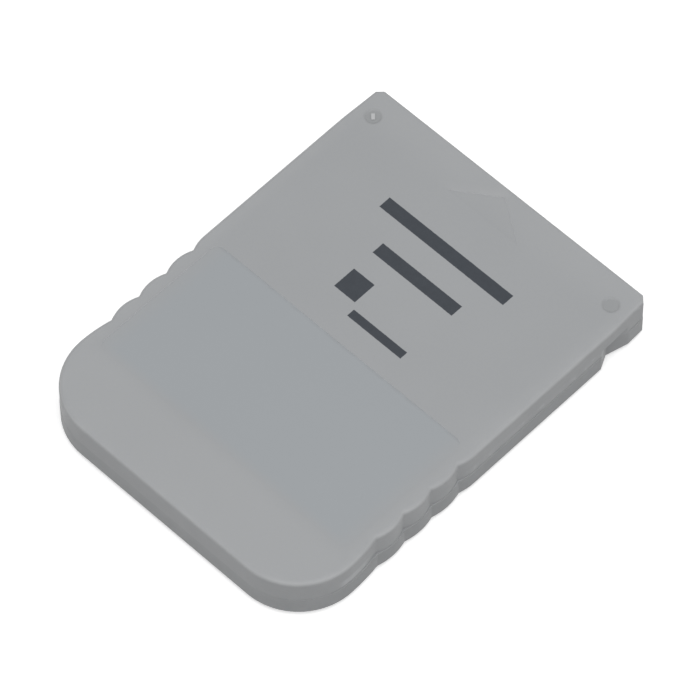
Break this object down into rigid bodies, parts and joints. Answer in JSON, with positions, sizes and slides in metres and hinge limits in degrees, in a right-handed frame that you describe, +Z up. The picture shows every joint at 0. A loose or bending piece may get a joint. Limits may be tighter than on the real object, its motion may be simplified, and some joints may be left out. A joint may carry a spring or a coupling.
{
  "type": "console memory card",
  "caption": "Flat grey moulded memory card with scalloped finger grips, a label recess, a sunk insertion arrow, side detent notches and contact windows at the connector end.",
  "frame": {"origin": "middle of the card's underside, where it rests", "axes": "+X across the card, +Y along it towards the connector end, +Z up through the face with the label recess"},
  "size_m": [0.042, 0.056, 0.0066],
  "materials": {
    "shell": "fine satin moulded grey",
    "board": "green solder mask",
    "contact": "gold plated",
    "chip_body": "black moulding compound",
    "leads": "tinned",
    "capacitor": "fired tan ceramic with tinned ends",
    "resistor": "black glaze with tinned ends",
    "screw": "zinc plated"
  },
  "bodies": {
    "root": {"top_shell": "shell", "bottom_shell": "shell", "circuit_board": "board", "memory_chip": "chip_body", "controller_chip": "chip_body", "voltage_regulator": "chip_body", "diode": "chip_body", "memory_chip_leads": "leads", "controller_chip_leads": "leads", "regulator_leads": "leads", "case_screw": "screw", "contact_pad_1": "contact", "contact_pad_2": "contact", "contact_pad_3": "contact", "contact_pad_4": "contact", "contact_pad_5": "contact", "contact_pad_6": "contact", "contact_pad_7": "contact", "contact_pad_8": "contact", "capacitor_1": "capacitor", "capacitor_2": "capacitor", "capacitor_3": "capacitor", "capacitor_4": "capacitor", "resistor_1": "resistor", "resistor_2": "resistor", "resistor_3": "resistor", "resistor_4": "resistor"}
  },
  "joints": []
}
